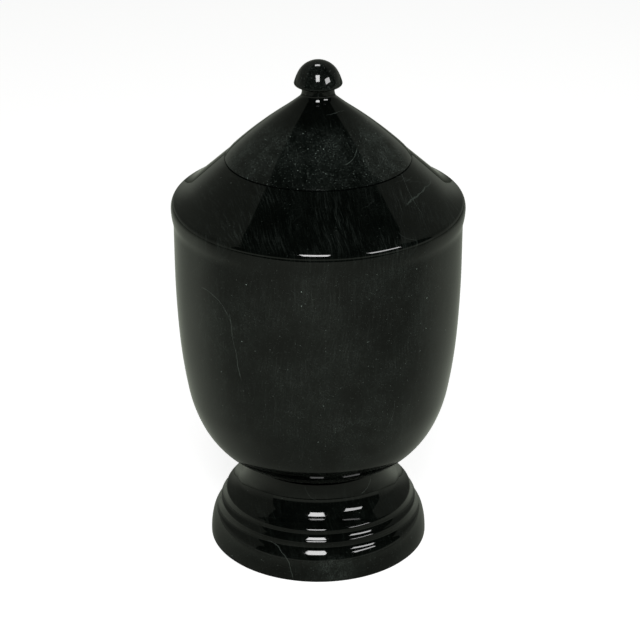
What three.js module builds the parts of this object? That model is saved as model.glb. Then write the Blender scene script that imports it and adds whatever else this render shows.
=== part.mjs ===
// Turned stone urn of three blocks that share one upright axis: foot, hollow body and lid.
// Lengths are millimetres and angles are degrees. The urn stands on z = 0.
import * as THREE from 'three'

const SEGMENTS = 48
const CHORD = 0.13 // most that an arc may stray from its chord

// Foot
const BASE_R = 71.9
const ARRIS = 0.8
const BASE_H = 2 // height of the upright band under the mouldings
const BASE_ROLL = [48, 14.4, 5.6] // radii of the rounded base edge, from the upright part up
const BASE_ROLL_TILTS = [15, 33, 45]
const STEP_COVE = 8
const STEP_LIP = 2.1
const STEP_TILT = 50
const LIP_COVE = 7.9
const LIP_COVE_TILT = 5
const LIP = 2
const LIP_TILT = 62
const NECK_COVE = [29, 12, 25.5] // radii from the lip up
const NECK_COVE_TILTS = [45, 33]
const FOOT_H = 58.6
const JOINT = 0.3 // gap between two blocks that rest on each other

// Outside of the body
const COLLAR_R = 48.5
const COLLAR_TAPER = 1.4 // how much the collar narrows down to the joint
const COLLAR_H = 2.7
const BOWL = [39.3, 62.7, 92.3, 357, 705] // radii of the bowl from the collar up
const BOWL_TILTS = [-75, -42, -25, -10.4, -4, 0]
const BOWL_TOP = 222 // height where the upright wall ends under the rim
const RIM_FLARE = 24
const RIM_UNDER = 32
const RIM_FLARE_TILT = -13.3
const RIM = [8.2, 4, 2.5] // radii of the rim from its widest line up
const RIM_TILTS = [27, 42, 63]
const SHOULDER_COVE = 52.2
const SHOULDER_TILT = 47.7
const SEAT_R = 58.95

// Inside of the body
const WALL = 12
const MOUTH_R = 45
const HAUNCH = 16 // radius between the upright wall and the sloping ceiling

// Lid
const LID_R = 58.4
const LID_BEVEL = [0.5, 0.35] // width and height of the bevel under the edge of the lid
const LID_EDGE = 43.4
const LID_EDGE_TILTS = [38.7, 46.4]
const LID_CONE = 291
const LID_CONE_TILT = 54.3
const LID_FOOTING = [189, 6.1] // radii of the hollow sweep up into the neck
const LID_SWEEP_TILT = 50
const NECK_H = 1.75
const CAP_UNDER = 1.6
const CAP_UNDER_TILT = -75
const CAP_SPREAD = 2.8 // length of the sloping underside of the knob
const CAP_LIP = 1.3
const CAP_SIDE = 32.4
const CAP_SIDE_TILTS = [15, 27]
const SPIGOT_PLAY = 0.5
const SPIGOT_H = 7

const rad = THREE.MathUtils.degToRad

// An outline is drawn upwards; its outward normal is tilted up by the given angle.
function outline(r, z) {
  const points = [new THREE.Vector2(r, z)]
  const last = () => points[points.length - 1]
  return {
    points,
    last,
    to(nextR, nextZ) {
      points.push(new THREE.Vector2(nextR, nextZ))
      return this
    },
    slope(length, tilt) {
      const { x, y } = last()
      return this.to(x - length * Math.sin(rad(tilt)), y + length * Math.cos(rad(tilt)))
    },
    // Turns the normal from one tilt to another: bulging when it rises, hollow when it falls.
    arc(radius, from, tilt) {
      const { x, y } = last()
      const side = tilt > from ? radius : -radius
      const most = 2 * Math.acos(1 - CHORD / radius)
      const steps = Math.max(1, Math.ceil(rad(Math.abs(tilt - from)) / most))
      for (let i = 1; i <= steps; i++) {
        const a = rad(from + ((tilt - from) * i) / steps)
        this.to(
          x + side * (Math.cos(a) - Math.cos(rad(from))),
          y + side * (Math.sin(a) - Math.sin(rad(from))),
        )
      }
      return this
    },
    arcs(radii, tilts) {
      radii.forEach((radius, i) => this.arc(radius, tilts[i], tilts[i + 1]))
      return this
    },
  }
}

function block(name, points) {
  const geometry = new THREE.LatheGeometry(points, SEGMENTS)
  geometry.rotateX(Math.PI / 2)
  const material = new THREE.MeshStandardMaterial({
    color: 0x171a18,
    roughness: 0.12,
    metalness: 0,
  })
  const mesh = new THREE.Mesh(geometry, material)
  mesh.name = name
  return mesh
}

function footBlock() {
  const path = outline(0, 0)
    .to(BASE_R - ARRIS, 0)
    .to(BASE_R, ARRIS)
    .to(BASE_R, BASE_H)
    .arcs(BASE_ROLL, [0, ...BASE_ROLL_TILTS])
    .arc(STEP_COVE, BASE_ROLL_TILTS[2], 0)
    .arc(STEP_LIP, 0, STEP_TILT)
    .arc(LIP_COVE, STEP_TILT, LIP_COVE_TILT)
    .arc(LIP, LIP_COVE_TILT, LIP_TILT)
    .arcs(NECK_COVE, [LIP_TILT, ...NECK_COVE_TILTS, 0])
  return block('foot', path.to(path.last().x, FOOT_H).to(0, FOOT_H).points)
}

function bodyOutside() {
  const bottom = FOOT_H + JOINT
  const bowl = outline(COLLAR_R - COLLAR_TAPER, bottom)
    .to(COLLAR_R, bottom + COLLAR_H)
    .arcs(BOWL, BOWL_TILTS)
  const rim = bowl
    .to(bowl.last().x, BOWL_TOP)
    .arc(RIM_FLARE, 0, RIM_FLARE_TILT)
    .arc(RIM_UNDER, RIM_FLARE_TILT, 0)
    .arcs(RIM, [0, ...RIM_TILTS])
    .arc(SHOULDER_COVE, RIM_TILTS[2], SHOULDER_TILT)
  return rim.slope((rim.last().x - SEAT_R) / Math.sin(rad(SHOULDER_TILT)), SHOULDER_TILT)
}

// The inside follows the bowl one wall thickness in, with a level floor.
function bodyInside(seat) {
  const bottom = FOOT_H + JOINT + COLLAR_H
  const start = rad(BOWL_TILTS[0])
  const floorR = COLLAR_R - WALL * Math.cos(start)
  const floorZ = bottom - WALL * Math.sin(start)
  const wall = outline(0, floorZ)
    .to(floorR, floorZ)
    .arcs(BOWL.map((radius) => radius - WALL), BOWL_TILTS)
  const wallR = wall.last().x
  const tilt = rad(SHOULDER_TILT)
  // The ceiling runs parallel to the cone of the shoulder and is rounded into the wall.
  const turn = HAUNCH * (1 - Math.cos(tilt))
  const ceiling = (r) => seat.y - WALL / Math.sin(tilt) - (r - seat.x) / Math.tan(tilt)
  const rise = ceiling(wallR - turn) - HAUNCH * Math.sin(tilt)
  return wall
    .to(wallR, rise)
    .arc(HAUNCH, 0, SHOULDER_TILT)
    .to(MOUTH_R, ceiling(MOUTH_R))
    .to(MOUTH_R, seat.y)
}

function bodyBlock() {
  const outside = bodyOutside()
  const inside = bodyInside(outside.last())
  const bottom = new THREE.Vector2(0, FOOT_H + JOINT)
  return block('body', [bottom, ...outside.points, ...inside.points.reverse()])
}

function lidBlock() {
  const seatZ = bodyOutside().last().y + JOINT
  const spigotR = MOUTH_R - SPIGOT_PLAY
  const path = outline(0, seatZ - SPIGOT_H)
    .to(spigotR, seatZ - SPIGOT_H)
    .to(spigotR, seatZ)
    .to(LID_R - LID_BEVEL[0], seatZ)
    .to(LID_R, seatZ + LID_BEVEL[1])
    .arc(LID_EDGE, ...LID_EDGE_TILTS)
    .arc(LID_CONE, LID_EDGE_TILTS[1], LID_CONE_TILT)
    .arcs(LID_FOOTING, [LID_CONE_TILT, LID_SWEEP_TILT, 0])
  const cap = path
    .to(path.last().x, path.last().y + NECK_H)
    .arc(CAP_UNDER, 0, CAP_UNDER_TILT)
    .slope(CAP_SPREAD, CAP_UNDER_TILT)
    .arc(CAP_LIP, CAP_UNDER_TILT, CAP_SIDE_TILTS[0])
    .arc(CAP_SIDE, ...CAP_SIDE_TILTS)
  const domeTilt = CAP_SIDE_TILTS[1]
  const points = cap.arc(cap.last().x / Math.cos(rad(domeTilt)), domeTilt, 90).points
  points[points.length - 1].x = 0
  return block('lid', points)
}

const urn = new THREE.Group()
urn.name = 'cremation_urn'
urn.add(footBlock(), bodyBlock(), lidBlock())

export default urn
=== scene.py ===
"""Polished black marble urn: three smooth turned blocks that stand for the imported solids."""

from math import acos, ceil, cos, pi, radians, sin, tan

import bpy
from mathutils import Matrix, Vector


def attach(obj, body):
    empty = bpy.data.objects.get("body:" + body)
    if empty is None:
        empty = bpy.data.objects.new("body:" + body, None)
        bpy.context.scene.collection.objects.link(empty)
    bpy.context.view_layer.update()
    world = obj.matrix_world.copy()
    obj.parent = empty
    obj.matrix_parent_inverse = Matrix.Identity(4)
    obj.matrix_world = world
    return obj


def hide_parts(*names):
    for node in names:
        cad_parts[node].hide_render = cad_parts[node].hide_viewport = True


# Outlines, in millimetres and degrees, upwards from the foot, z = 0 at the floor
MM = 0.001
SIDES = 256
CHORD = 0.004  # most that an arc may stray from its chord
STEP = 2.0  # most that the normal turns from point to point
CREASE = 12.0  # edges that turn more than this stay sharp

# Foot
BASE_R = 71.9
ARRIS = 0.8
BASE_H = 2  # height of the upright band under the mouldings
BASE_ROLL = [48, 14.4, 5.6]  # radii of the rounded base edge, from the upright part up
BASE_ROLL_TILTS = [0, 15, 33, 45]
STEP_COVE = 8
STEP_LIP = 2.1
STEP_TILT = 50
LIP_COVE = 7.9
LIP_COVE_TILT = 5
LIP = 2
NECK_COVE = [29, 12, 25.5]  # radii from the lip up
NECK_COVE_TILTS = [62, 45, 33, 0]
FOOT_H = 58.6
JOINT = 0.3  # gap between two blocks that rest on each other

# Outside of the body
COLLAR_R = 48.5
COLLAR_TAPER = 1.4  # how much the collar narrows down to the joint
COLLAR_H = 2.7
BOWL = [39.3, 62.7, 92.3, 357, 705]  # radii of the bowl from the collar up
BOWL_TILTS = [-75, -42, -25, -10.4, -4, 0]
BOWL_TOP = 222  # height where the upright wall ends under the rim
RIM_FLARE = 24
RIM_UNDER = 32
RIM_FLARE_TILT = -13.3
RIM = [8.2, 4, 2.5]  # radii of the rim from its widest line up
RIM_TILTS = [0, 27, 42, 63]
SHOULDER_COVE = 52.2
SHOULDER_TILT = 47.7
SEAT_R = 58.95

# Inside of the body
WALL = 12
MOUTH_R = 45
HAUNCH = 16  # radius between the upright wall and the sloping ceiling

# Lid
LID_R = 58.4
LID_BEVEL = [0.5, 0.35]  # width and height of the bevel under the edge of the lid
LID_EDGE = 43.4
LID_EDGE_TILTS = [38.7, 46.4]
LID_CONE = 291
LID_CONE_TILT = 54.3
LID_FOOTING = [189, 6.1]  # radii of the hollow sweep up into the neck
LID_SWEEP_TILT = 50
NECK_H = 1.75
CAP_UNDER = 1.6
CAP_UNDER_TILT = -75
CAP_SPREAD = 2.8  # length of the sloping underside of the knob
CAP_LIP = 1.3
CAP_SIDE = 32.4
CAP_SIDE_TILTS = [15, 27]
SPIGOT_PLAY = 0.5
SPIGOT_H = 7


class Outline:
    """A half section drawn upwards. A tilt is how far the outward normal points up."""

    def __init__(self, r, z):
        self.points = [(r, z)]

    @property
    def r(self):
        return self.points[-1][0]

    @property
    def z(self):
        return self.points[-1][1]

    def to(self, r, z):
        self.points.append((r, z))
        return self

    def slope(self, length, tilt):
        tilt = radians(tilt)
        return self.to(self.r - length * sin(tilt), self.z + length * cos(tilt))

    def arc(self, radius, start, end):
        """Turns the normal from start to end: bulging when it rises, hollow when it falls."""
        r, z = self.points[-1]
        side = radius if end > start else -radius
        turn = min(2 * acos(1 - CHORD / radius), radians(STEP))
        steps = max(2, ceil(radians(abs(end - start)) / turn))
        for i in range(1, steps + 1):
            a = radians(start + (end - start) * i / steps)
            self.to(
                r + side * (cos(a) - cos(radians(start))),
                z + side * (sin(a) - sin(radians(start))),
            )
        return self

    def arcs(self, radii, tilts):
        for radius, start, end in zip(radii, tilts, tilts[1:]):
            self.arc(radius, start, end)
        return self


def foot_outline():
    path = Outline(0, 0).to(BASE_R - ARRIS, 0).to(BASE_R, ARRIS).to(BASE_R, BASE_H)
    path.arcs(BASE_ROLL, BASE_ROLL_TILTS)
    path.arc(STEP_COVE, BASE_ROLL_TILTS[-1], 0).arc(STEP_LIP, 0, STEP_TILT)
    path.arc(LIP_COVE, STEP_TILT, LIP_COVE_TILT)
    path.arc(LIP, LIP_COVE_TILT, NECK_COVE_TILTS[0])
    path.arcs(NECK_COVE, NECK_COVE_TILTS)
    return path.to(path.r, FOOT_H).to(0, FOOT_H)


def body_outside():
    bottom = FOOT_H + JOINT
    path = Outline(0, bottom).to(COLLAR_R - COLLAR_TAPER, bottom)
    path.to(COLLAR_R, bottom + COLLAR_H)
    path.arcs(BOWL, BOWL_TILTS)
    path.to(path.r, BOWL_TOP)
    path.arc(RIM_FLARE, 0, RIM_FLARE_TILT).arc(RIM_UNDER, RIM_FLARE_TILT, 0)
    path.arcs(RIM, RIM_TILTS).arc(SHOULDER_COVE, RIM_TILTS[-1], SHOULDER_TILT)
    return path.slope((path.r - SEAT_R) / sin(radians(SHOULDER_TILT)), SHOULDER_TILT)


def body_inside(seat_r, seat_z):
    """The hollow, one wall in from the bowl, with a level floor and a sloping ceiling."""
    start, tilt = radians(BOWL_TILTS[0]), radians(SHOULDER_TILT)
    floor_r = COLLAR_R - WALL * cos(start)
    floor_z = FOOT_H + JOINT + COLLAR_H - WALL * sin(start)
    path = Outline(0, floor_z).to(floor_r, floor_z)
    path.arcs([radius - WALL for radius in BOWL], BOWL_TILTS)

    def ceiling(r):
        return seat_z - WALL / sin(tilt) - (r - seat_r) / tan(tilt)

    rise = ceiling(path.r - HAUNCH * (1 - cos(tilt))) - HAUNCH * sin(tilt)
    path.to(path.r, rise).arc(HAUNCH, 0, SHOULDER_TILT)
    return path.to(MOUTH_R, ceiling(MOUTH_R)).to(MOUTH_R, seat_z)


def body_outline():
    path = body_outside()
    inside = body_inside(path.r, path.z)
    path.points += reversed(inside.points)
    return path


def lid_outline():
    seat_z = body_outside().z + JOINT
    spigot_r = MOUTH_R - SPIGOT_PLAY
    path = Outline(0, seat_z - SPIGOT_H).to(spigot_r, seat_z - SPIGOT_H)
    path.to(spigot_r, seat_z).to(LID_R - LID_BEVEL[0], seat_z)
    path.to(LID_R, seat_z + LID_BEVEL[1])
    path.arc(LID_EDGE, *LID_EDGE_TILTS).arc(LID_CONE, LID_EDGE_TILTS[1], LID_CONE_TILT)
    path.arcs(LID_FOOTING, [LID_CONE_TILT, LID_SWEEP_TILT, 0])
    path.to(path.r, path.z + NECK_H).arc(CAP_UNDER, 0, CAP_UNDER_TILT)
    path.slope(CAP_SPREAD, CAP_UNDER_TILT)
    path.arc(CAP_LIP, CAP_UNDER_TILT, CAP_SIDE_TILTS[0]).arc(CAP_SIDE, *CAP_SIDE_TILTS)
    dome_tilt = CAP_SIDE_TILTS[1]
    path.arc(path.r / cos(radians(dome_tilt)), dome_tilt, 90)
    path.points[-1] = (0, path.z)
    return path


def turned(name, outline, material):
    """A closed solid of revolution. Its outline starts and ends on the axis."""
    rings = outline.points[1:-1]
    turns = [2 * pi * i / SIDES for i in range(SIDES)]
    verts = [(r * MM * cos(a), r * MM * sin(a), z * MM) for r, z in rings for a in turns]
    bottom, top = len(verts), len(verts) + 1
    verts += [(0, 0, outline.points[0][1] * MM), (0, 0, outline.z * MM)]
    last = (len(rings) - 1) * SIDES
    faces = []
    for i in range(SIDES):
        j = (i + 1) % SIDES
        faces.append((bottom, j, i))
        faces.append((last + i, last + j, top))
        for k in range(0, last, SIDES):
            faces.append((k + i, k + j, k + SIDES + j, k + SIDES + i))
    mesh = bpy.data.meshes.new(name)
    mesh.from_pydata(verts, [], faces)
    mesh.shade_smooth()
    mesh.set_sharp_from_angle(angle=radians(CREASE))
    mesh.materials.append(material)
    piece = bpy.data.objects.new(name, mesh)
    bpy.context.scene.collection.objects.link(piece)
    return piece


class Nodes:
    """Adds nodes to a tree and links them by value or by socket."""

    def __init__(self, tree):
        self.tree = tree
        tree.nodes.clear()

    def add(self, kind, inputs=(), **settings):
        node = self.tree.nodes.new(kind)
        for key, value in settings.items():
            setattr(node, key, value)
        for key, value in dict(inputs).items():
            if isinstance(value, bpy.types.NodeSocket):
                self.tree.links.new(value, node.inputs[key])
            else:
                node.inputs[key].default_value = value
        return node

    def math(self, operation, *values):
        return self.add("ShaderNodeMath", enumerate(values), operation=operation).outputs[0]

    def remap(self, value, low, high, to_low=0.0, to_high=1.0, smooth=True):
        """value between low and high, mapped onto to_low..to_high and held beyond."""
        node = self.add(
            "ShaderNodeMapRange",
            {
                "Value": value,
                "From Min": low,
                "From Max": high,
                "To Min": to_low,
                "To Max": to_high,
            },
            interpolation_type="SMOOTHSTEP" if smooth else "LINEAR",
        )
        return node.outputs["Result"]

    def noise(self, vector, scale, detail, roughness=0.55):
        node = self.add(
            "ShaderNodeTexNoise",
            {"Vector": vector, "Scale": scale, "Detail": detail, "Roughness": roughness},
        )
        return node.outputs["Fac"]

    def mix(self, factor, first, second):
        """Blends two colours or sockets of colour."""
        node = self.add("ShaderNodeMix", data_type="RGBA")
        for key, value in ((0, factor), (6, first), (7, second)):
            if isinstance(value, bpy.types.NodeSocket):
                self.tree.links.new(value, node.inputs[key])
            else:
                node.inputs[key].default_value = value
        return node.outputs[2]

    def haze(self, block, place, level, haze_and_sheen_clouds):
        """Speckled pale haze, as a share of white: faint all over, stronger in each cloud, of
        which some are painted reflection.
        """
        broad = self.noise(block, HAZE_SCALE, detail=6.0, roughness=0.66)
        broad = self.math("MULTIPLY", self.remap(broad, 0.34, 0.7), level)
        torn = self.noise(block, TEAR_SCALE, detail=5.0, roughness=0.7)
        torn = self.remap(torn, 0.4, 0.68, 0.1, 1.3)
        for middle, reach, strength in haze_and_sheen_clouds:
            near = self.remap(self.distance(place, middle), reach * MM, 0.3 * reach * MM)
            near = self.math("MULTIPLY", near, torn)
            broad = self.math("MULTIPLY_ADD", near, strength, broad)
        grit = self.noise(block, GRIT_SCALE, detail=3.0, roughness=0.7)
        return self.math("MULTIPLY", broad, self.remap(grit, 0.35, 0.72, 0.2, 2.1))

    def grain(self, block, level):
        """Fine upright streaks in broad patches."""
        turned = self.add(
            "ShaderNodeMapping",
            {
                "Vector": self.wander(block, block, *GRAIN_WANDER),
                "Rotation": (0, radians(GRAIN_TIP), radians(GRAIN_LEAN)),
                "Scale": GRAIN_SIZE,
            },
            vector_type="TEXTURE",
        ).outputs[0]
        streak = self.remap(self.noise(turned, 1.0, detail=5.0, roughness=0.75), 0.46, 0.78)
        patch = self.noise(block, GRAIN_PATCH_SCALE, detail=3.0)
        patch = self.remap(patch, 0.38, 0.64, 0.2, 1.0)
        return self.math("MULTIPLY", self.math("MULTIPLY", streak, patch), level)

    def specks(self, block, scale, share, size, level):
        """Small light crystals: one in a share of the cells of a random pattern."""
        cells = self.add("ShaderNodeTexVoronoi", {"Vector": block, "Scale": scale})
        chance = self.add("ShaderNodeSeparateColor", {0: cells.outputs["Color"]}).outputs
        core = self.remap(cells.outputs["Distance"], size, 0.3 * size)
        chosen = self.remap(chance[0], 1 - share, 1.0, smooth=False)
        return self.math("MULTIPLY", self.math("MULTIPLY", core, chosen), level)

    def wander(self, block, place, scale, reach):
        """The place, moved a little to and fro so that nothing is drawn too evenly."""
        node = self.add("ShaderNodeTexNoise", {"Vector": block, "Scale": scale, "Detail": 3.0})
        sway = self.add(
            "ShaderNodeVectorMath",
            {0: node.outputs["Color"], 1: (-0.5, -0.5, -0.5)},
            operation="ADD",
        ).outputs[0]
        node = self.add(
            "ShaderNodeVectorMath",
            {0: sway, 1: (reach, reach, reach), 2: place},
            operation="MULTIPLY_ADD",
        )
        return node.outputs[0]

    def distance(self, place, point):
        centre = [v * MM for v in point]
        node = self.add("ShaderNodeVectorMath", {0: place, 1: centre}, operation="DISTANCE")
        return node.outputs["Value"]

    def vein(self, place, width, centre, radius, middle, reach, thick, level):
        """One row of VEINS. Its thickness is multiplied by the given width."""
        off = self.math("SUBTRACT", self.distance(place, centre), radius * MM)
        off = self.math("DIVIDE", self.math("ABSOLUTE", off), width)
        line = self.remap(off, thick * MM, 0.2 * thick * MM, 0.0, level)
        near = self.remap(self.distance(place, middle), reach * MM, 0.8 * reach * MM)
        return self.math("MULTIPLY", line, near)

    def web(self, block):
        """A few faint hairline veins on every side of the block."""
        sway = self.add(
            "ShaderNodeTexNoise", {"Vector": block, "Scale": WEB_BEND_SCALE, "Detail": 4.0}
        )
        bent = self.add(
            "ShaderNodeVectorMath",
            {0: sway.outputs["Color"], 1: WEB_BEND, 2: block},
            operation="MULTIPLY_ADD",
        ).outputs[0]
        cells = self.add(
            "ShaderNodeTexVoronoi",
            {"Vector": bent, "Scale": WEB_SCALE},
            feature="DISTANCE_TO_EDGE",
        )
        line = self.remap(cells.outputs["Distance"], 0.006, 0.001)
        some = self.remap(self.noise(block, WEB_PATCH_SCALE, detail=2.0), 0.54, 0.66)
        return self.math("MULTIPLY", self.math("MULTIPLY", line, some), WEB)


# Veins, each an arc drawn by a thin spherical shell that cuts the surface, in millimetres:
# centre of the shell, its radius, middle of the arc, half its length, width, strength
VEINS = {
    "foot": [
        ((-31.1, -52.9, 0.6), 22.6, (-21.5, -66, 16.4), 17, 0.35, 0.05),
        ((3.3, -49.6, 59.9), 12.6, (-5.5, -48.1, 51), 8, 0.25, 0.03),
        ((27.2, -40.7, 58.5), 10.2, (32.8, -35.4, 51.8), 8, 0.5, 0.05),
    ],
    "body": [
        ((-67.7, -57.5, 180.3), 22.8, (-61.2, -68.2, 199.4), 17, 0.35, 0.075),
        ((244.1, -91.8, 218.4), 299.7, (-51.3, -75.2, 170.9), 24, 0.32, 0.075),
        ((91.1, 0.1, 239.9), 55.9, (55.6, -38.8, 258.6), 18, 0.3, 0.035),
        ((-16.3, 6.2, 220), 95.3, (63.9, -31.2, 255.5), 22, 0.3, 0.032),
        ((41.6, -20, 272.6), 19.5, (55.6, -29.5, 262.9), 6, 0.3, 0.025),
        ((9, -91.6, 132.6), 42.6, (46.3, -73.5, 123), 10, 0.3, 0.045),
        ((48.4, -41.7, 220.7), 35.8, (51.9, -76.4, 228.3), 20, 0.3, 0.012),
    ],
    "lid": [
        ((2.4, -32, 288.9), 22.1, (23.4, -34.9, 282.6), 4, 0.22, 0.06),
        ((7.3, -31.8, 286.6), 17, (19.9, -40.9, 279.6), 6, 0.22, 0.07),
        ((-2.1, 1.9, 298.1), 21.4, (11.6, -14.4, 300.8), 8, 0.2, 0.035),
    ],
}
VEIN_WANDER = (110.0, 0.002)  # turns a metre, reach in metres
VEIN_SWELL = (0.35, 1.3)  # least and most share of its width that a vein has on its way
VEIN_SWELL_SCALE = 260.0

# Colours of the stone, and how its figure runs. A scale counts features a metre.
BASE = (0.0004, 0.0009, 0.0006, 1)
PALE = (0.82, 1.0, 0.89, 1)
HAZE_SCALE = 42.0
TEAR_SCALE = 95.0  # of the gaps in a cloud
GRIT_SCALE = 1000.0
HAZE_AND_SHEEN_CLOUDS = {  # patches of pale haze, and two of painted reflection on the lid's flanks: middle and reach in millimetres, strength
    "foot": [((10, -70, 8), 18, 0.014)],
    "body": [
        ((50, -66, 215), 34, 0.005),
        ((-55, -60, 180), 46, 0.008),
        ((10, -80, 150), 50, 0.004),
        ((24, -68, 108), 40, 0.007),
    ],
    "lid": [
        ((-6, -28, 292), 34, 0.007),
        # painted reflection: the lid's left and right flanks made lighter, like the pale room
        # mirrored there
        ((-42, -20, 277), 32, 0.014),
        ((42, -20, 277), 32, 0.014),
    ],
}
HAZE_FADE_AND_NECK_SHADE = {  # heights between which haze and specks change, in millimetres, and by what factor; on the lid this is painted shade on the neck under the knob
    "foot": [(12, 20, 0.22)],
    "body": [(222, 238, 0.25)],
    # painted shade: the top of the lid and its neck darkened under the knob, the knob brought
    # back
    "lid": [(290, 298, 0.1), (308, 312, 9.0)],
}
WEB = 0.012  # strength of the hairline veins on all sides
WEB_SCALE = 17.0
WEB_PATCH_SCALE = 22.0
WEB_BEND = (0.03, 0.03, 0.02)  # how far they stray, metres
WEB_BEND_SCALE = 30.0
SPECKS = [  # cells a metre, share that hold a speck, size in cells, brightness
    (1300, 0.35, 0.4, 0.035),
    (650, 0.07, 0.32, 0.07),
    (300, 0.05, 0.16, 0.3),
]
GRAIN_SIZE = (0.0009, 0.011, 0.018)  # thickness, depth and height of a streak, metres
GRAIN_LEAN = 20.0  # the sheets of grain are turned this far about Z, degrees
GRAIN_TIP = 4.0  # and the streaks this far about Y
GRAIN_WANDER = (25.0, 0.012)  # turns a metre, reach in metres
GRAIN_PATCH_SCALE = 40.0
POLISH = (0.03, 0.075)  # least and most roughness
POLISH_SCALE = 90.0
HONED = 0.35  # how much rougher the underside is
HONED_TO = (0.1, 0.4)  # heights between which that ends, millimetres
RIPPLE_SCALE = 14.0

# Blocks: outline, then where the block lies in the pattern, metres, and how strong its haze,
# grain and specks are
BLOCKS = {
    "foot": (foot_outline, (0.4, 0.1, 0.0), 0.009, 0.012, 1.2),
    "body": (body_outline, (0.0, 0.0, 0.0), 0.0075, 0.021, 1.2),
    "lid": (lid_outline, (-0.3, 0.2, 0.5), 0.0085, 0.01, 2.3),
}


def stone(part, offset, haze, grain, sparkle):
    """Polished near-black marble: haze and upright grain, light specks and pale veins, with
    painted reflection on the lid's flanks and painted shade under its knob.
    """
    material = bpy.data.materials.new(part + "_marble")
    material.use_nodes = True
    n = Nodes(material.node_tree)
    place = n.add("ShaderNodeTexCoord").outputs["Object"]
    block = n.add("ShaderNodeMapping", {"Vector": place, "Location": offset}).outputs[0]
    pale = n.haze(block, place, haze, HAZE_AND_SHEEN_CLOUDS[part])
    for scale, share, size, level in SPECKS:
        pale = n.math("ADD", pale, n.specks(block, scale, share, size, level * sparkle))
    height = n.add("ShaderNodeSeparateXYZ", {0: place}).outputs["Z"]
    # haze and specks change with height; on the lid that is painted shade under the knob
    for low, high, share in HAZE_FADE_AND_NECK_SHADE[part]:
        pale = n.math("MULTIPLY", pale, n.remap(height, low * MM, high * MM, 1.0, share))
    pale = n.math("ADD", pale, n.grain(block, grain))
    shifted = n.wander(block, place, *VEIN_WANDER)
    width = n.remap(n.noise(block, VEIN_SWELL_SCALE, detail=2.0), 0.3, 0.7, *VEIN_SWELL)
    for vein in VEINS[part]:
        pale = n.math("MAXIMUM", pale, n.vein(shifted, width, *vein))
    pale = n.math("MAXIMUM", pale, n.web(block))
    colour = n.mix(pale, BASE, PALE)
    polish = n.remap(n.noise(block, POLISH_SCALE, detail=3.0), 0.3, 0.75, *POLISH)
    under = n.remap(height, HONED_TO[0] * MM, HONED_TO[1] * MM, HONED, 0.0)
    polish = n.math("ADD", polish, under)
    ripple = n.noise(block, RIPPLE_SCALE, detail=1.0)
    ripple = n.add("ShaderNodeBump", {"Height": ripple, "Strength": 0.05, "Distance": 0.002})
    shader = n.add(
        "ShaderNodeBsdfPrincipled",
        {
            "Base Color": colour,
            "Roughness": polish,
            "IOR": 1.5,
            "Metallic": 0.0,
            "Normal": ripple.outputs[0],
        },
    )
    n.add("ShaderNodeOutputMaterial", {"Surface": shader.outputs[0]})
    return material


# Camera, in metres, degrees and millimetres of lens
AIM = Vector((0.00113, 0.0, 0.15415))
CAMERA_PITCH = 25.0
CAMERA_DISTANCE = 1.4249
LENS = 123.75
SENSOR = 36.0

# Floor, in metres. Its colour as the stone mirrors it is a share of white, with painted light
# and shade: darker in front and close to the foot, lighter behind.
FLOOR_REACH = 3.0
FLOOR_LIGHT_AND_SHADE = (0.29, 0.62)  # in front and behind
FLOOR_CHANGE = (-0.18, 0.16)  # where one turns into the other
FLOOR_NEAR_SHADE = 0.64  # painted shade: how much of that is left close to the foot
FLOOR_SHADE_RING = (0.07, 0.16)
FLOOR_RIGHT = 0.72  # and how much on the right
FLOOR_RIGHT_RANGE = (0.0, 0.4)
FLOOR_END = (-0.85, -0.65)  # where the floor darkens towards the viewer
FLOOR_END_LEFT = 0.05
PAPER = (0.5, 0.5, 0.5, 1)  # the floor as the camera sees it: plain, and lit from within
PAPER_GLOW = 0.8

# Room that the stone mirrors. Directions are parts of a unit vector.
ROOM_TINT = (0.98, 1.055, 0.9, 1)
WHITE = (1, 1, 1, 1)
FRONT = 0.014  # radiance of the dark front
FRONT_LOW = 0.3  # what is added to it just above the floor
FRONT_LOW_RANGE = (0.08, 0.15)
ROOM = (0.24, 0.125)  # radiance of the room behind at the horizon and above
ROOM_RANGE = (0.0, 0.3)
ROOM_EDGE = 0.015  # half the width of the soft edge between front and room
LEFT = (-0.4, 0.966, -1.28)  # where the front ends: side slope, overhead slope, slant
RIGHT = (0.1, 0.8, -0.77)
LEFT_TO_RIGHT = (-0.1, 0.1)

# Softboxes: middle in metres, turn in degrees, width and height in metres, radiance
SOFTBOXES = {
    "softbox_front": ((-0.065, -1.43, 1.525), (31, 0, 0), 0.6, 0.864, 16),
    "softbox_right": ((1.33, -1.0, 1.104), (56, 0, 53), 0.8, 0.36, 11),
    "softbox_top": ((-0.06, 0.59, 1.75), (-22, 0, 0), 0.45, 0.28, 11),
}


def make_camera():
    data = bpy.data.cameras.new("camera")
    data.lens, data.sensor_width = LENS, SENSOR
    camera = bpy.data.objects.new("camera", data)
    pitch = radians(CAMERA_PITCH)
    camera.location = AIM + CAMERA_DISTANCE * Vector((0, -cos(pitch), sin(pitch)))
    camera.rotation_euler = (pi / 2 - pitch, 0, 0)
    bpy.context.scene.collection.objects.link(camera)
    bpy.context.scene.camera = camera


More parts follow.
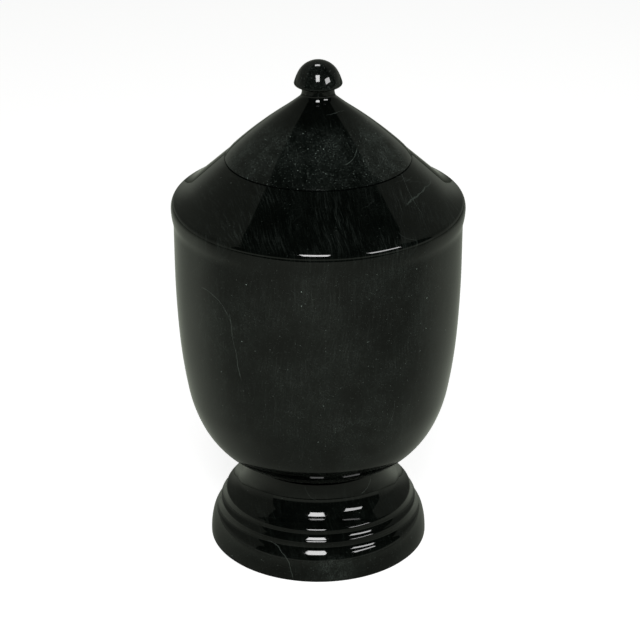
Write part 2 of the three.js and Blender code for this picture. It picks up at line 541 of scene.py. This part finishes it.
def make_floor():
    mesh = bpy.data.meshes.new("floor")
    r = FLOOR_REACH
    mesh.from_pydata([(-r, -r, 0), (r, -r, 0), (r, r, 0), (-r, r, 0)], [], [(0, 1, 2, 3)])
    material = bpy.data.materials.new("pale_floor")
    material.use_nodes = True
    n = Nodes(material.node_tree)
    seen = n.add("ShaderNodeLightPath").outputs["Is Camera Ray"]
    place = n.add("ShaderNodeTexCoord").outputs["Object"]
    aside, behind, _ = n.add("ShaderNodeSeparateXYZ", {0: place}).outputs
    # painted light and shade on the floor that the stone mirrors: darker in front and close to
    # the foot, lighter behind
    tone = n.remap(behind, *FLOOR_CHANGE, *FLOOR_LIGHT_AND_SHADE)
    for shade in (
        n.remap(n.distance(place, (0, 0, 0)), *FLOOR_SHADE_RING, FLOOR_NEAR_SHADE, 1.0),
        n.remap(aside, *FLOOR_RIGHT_RANGE, 1.0, FLOOR_RIGHT),
        n.remap(behind, *FLOOR_END, FLOOR_END_LEFT, 1.0),
    ):
        tone = n.math("MULTIPLY", tone, shade)
    tone = n.mix(tone, (0, 0, 0, 1), ROOM_TINT)
    in_stone = n.add("ShaderNodeBsdfDiffuse", {"Color": tone}).outputs[0]
    paper = n.add("ShaderNodeBsdfDiffuse", {"Color": PAPER}).outputs[0]
    glow = n.add("ShaderNodeEmission", {"Color": WHITE, "Strength": PAPER_GLOW}).outputs[0]
    pale = n.add("ShaderNodeAddShader", {0: paper, 1: glow}).outputs[0]
    both = n.add("ShaderNodeMixShader", {0: seen, 1: in_stone, 2: pale}).outputs[0]
    n.add("ShaderNodeOutputMaterial", {"Surface": both})
    mesh.materials.append(material)
    floor = bpy.data.objects.new("floor", mesh)
    bpy.context.scene.collection.objects.link(floor)


def softbox(name, centre, turn, width, height, radiance):
    """A flat panel light. Its turn is in degrees; unturned, it faces straight down."""
    data = bpy.data.lights.new(name, "AREA")
    data.shape, data.size, data.size_y = "RECTANGLE", width, height
    data.energy = radiance * pi * width * height
    lamp = bpy.data.objects.new(name, data)
    lamp.location = centre
    lamp.rotation_euler = [radians(a) for a in turn]
    lamp.visible_camera = False
    bpy.context.scene.collection.objects.link(lamp)


def make_world():
    """White beyond the floor to the eye; to the stone, a room with a dark front."""
    world = bpy.data.worlds.new("studio")
    bpy.context.scene.world = world
    world.use_nodes = True
    n = Nodes(world.node_tree)
    way = n.add("ShaderNodeTexCoord").outputs["Generated"]
    x, y, z = n.add("ShaderNodeSeparateXYZ", {0: way}).outputs
    # The dark front ends in two upright edges and reaches back overhead in a blunt wedge
    wide = n.math("ABSOLUTE", x)
    edge, top, slant = (n.remap(x, *LEFT_TO_RIGHT, *pair) for pair in zip(LEFT, RIGHT))
    overhead = n.math("MULTIPLY_ADD", wide, slant, n.math("MULTIPLY", z, top))
    end = n.math("MAXIMUM", n.math("MULTIPLY", wide, edge), overhead)
    room = n.remap(n.math("SUBTRACT", y, end), -ROOM_EDGE, ROOM_EDGE)
    front = n.remap(z, *FRONT_LOW_RANGE, FRONT + FRONT_LOW, FRONT)
    level = n.mix(room, front, n.remap(z, *ROOM_RANGE, *ROOM))
    seen = n.add("ShaderNodeLightPath").outputs["Is Camera Ray"]
    tone = n.add("ShaderNodeMix", {0: seen, 2: level, 3: 1.0}).outputs[0]
    tint = n.mix(seen, ROOM_TINT, WHITE)
    lit = n.add("ShaderNodeBackground", {"Color": tint, "Strength": tone}).outputs[0]
    n.add("ShaderNodeOutputWorld", {"Surface": lit})


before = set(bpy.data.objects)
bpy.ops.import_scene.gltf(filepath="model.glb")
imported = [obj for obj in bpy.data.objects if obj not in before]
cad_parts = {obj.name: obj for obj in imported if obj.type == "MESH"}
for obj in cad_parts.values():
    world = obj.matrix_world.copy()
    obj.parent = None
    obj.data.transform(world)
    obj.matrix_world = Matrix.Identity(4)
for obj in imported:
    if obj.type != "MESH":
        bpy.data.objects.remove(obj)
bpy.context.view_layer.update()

make_camera()
make_world()
make_floor()
for name, light in SOFTBOXES.items():
    softbox(name, *light)

for node, (draw, *figure) in BLOCKS.items():
    piece = turned(node + "_stone", draw(), stone(node, *figure))
    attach(piece, "root")
    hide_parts(node)

scene = bpy.context.scene
scene.view_settings.view_transform = "Standard"
